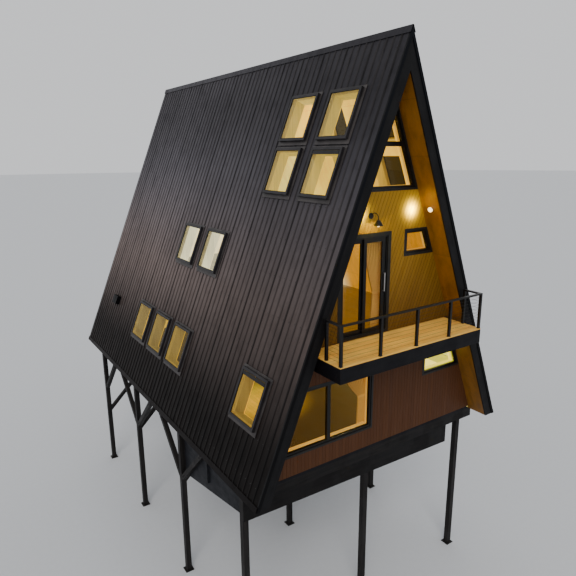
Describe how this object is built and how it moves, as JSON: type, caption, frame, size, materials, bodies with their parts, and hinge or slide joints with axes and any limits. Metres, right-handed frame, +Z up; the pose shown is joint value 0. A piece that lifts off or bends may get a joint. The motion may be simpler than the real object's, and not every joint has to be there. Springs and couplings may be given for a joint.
{
  "type": "a-frame cabin on legs",
  "caption": "Steep A-frame cabin on tall braced legs, with roof windows, a glazed gable peak and a cable-railed balcony at a sliding door.",
  "frame": {"origin": "under the middle of the whole cabin, at the level that its legs stand on", "axes": "+X right as seen from the balcony side, +Y from the balcony towards the rear gable, +Z up"},
  "size_m": [8.116, 14.215, 14.9871],
  "materials": {
    "roof_timber": "sawn rafters and boards",
    "roof_metal": "charcoal ribbed sheet, satin",
    "plywood": "clear-sealed plywood",
    "dark_trim": "near-black paint",
    "black_metal": "black baked paint",
    "bright_metal": "brushed",
    "window_casing": "charcoal paint",
    "roof_window_frame": "grey baked paint",
    "window_glass": "clear",
    "floor_boards": "oiled boards",
    "cedar_siding": "stained cedar boards",
    "deck_boards": "weathered boards",
    "leg_timber": "dark stained timber",
    "skirt_panel": "charcoal painted panel",
    "lamp_lens": "frosted, lit",
    "curtain_cloth": "plain woven"
  },
  "bodies": {
    "root": {"roof_deck_left": "roof_timber", "roof_deck_right": "roof_timber", "front_rake_left": "dark_trim", "front_rake_right": "dark_trim", "rear_rake_left": "dark_trim", "rear_rake_right": "dark_trim", "roof_metal": "roof_metal", "roof_lining": "plywood", "front_soffit": "plywood", "rake_trims": "black_metal", "foot_trims": "roof_metal", "ridge_cap": "roof_metal", "roof_window_frames": "roof_window_frame", "roof_window_flashings": "roof_window_frame", "roof_window_glass": "window_glass", "vent_hood": "roof_metal", "platform_joists": "roof_timber", "platform": "dark_trim", "ground_floor": "floor_boards", "second_floor": "floor_boards", "loft_floor": "floor_boards", "front_wall_ground": "cedar_siding", "front_wall_left": "cedar_siding", "front_wall_right": "cedar_siding", "front_wall_head": "cedar_siding", "rear_wall_ground": "cedar_siding", "rear_wall_upper": "cedar_siding", "gable_window_casings": "window_casing", "gable_window_sashes": "black_metal", "gable_window_glass": "window_glass", "door_casing": "window_casing", "patio_door_frame": "black_metal", "patio_door_sashes": "black_metal", "patio_door_glass": "window_glass", "patio_door_handle": "bright_metal", "balcony_frame": "dark_trim", "balcony_deck": "deck_boards", "front_guard": "black_metal", "side_guards": "black_metal", "legs": "leg_timber", "leg_braces": "leg_timber", "left_skirt": "skirt_panel", "front_skirt": "skirt_panel", "sconce_arm": "black_metal", "sconce_shade": "black_metal", "soffit_lamps": "lamp_lens", "curtain_rods": "black_metal", "door_curtain": "curtain_cloth", "window_curtain": "curtain_cloth"}
  },
  "joints": []
}
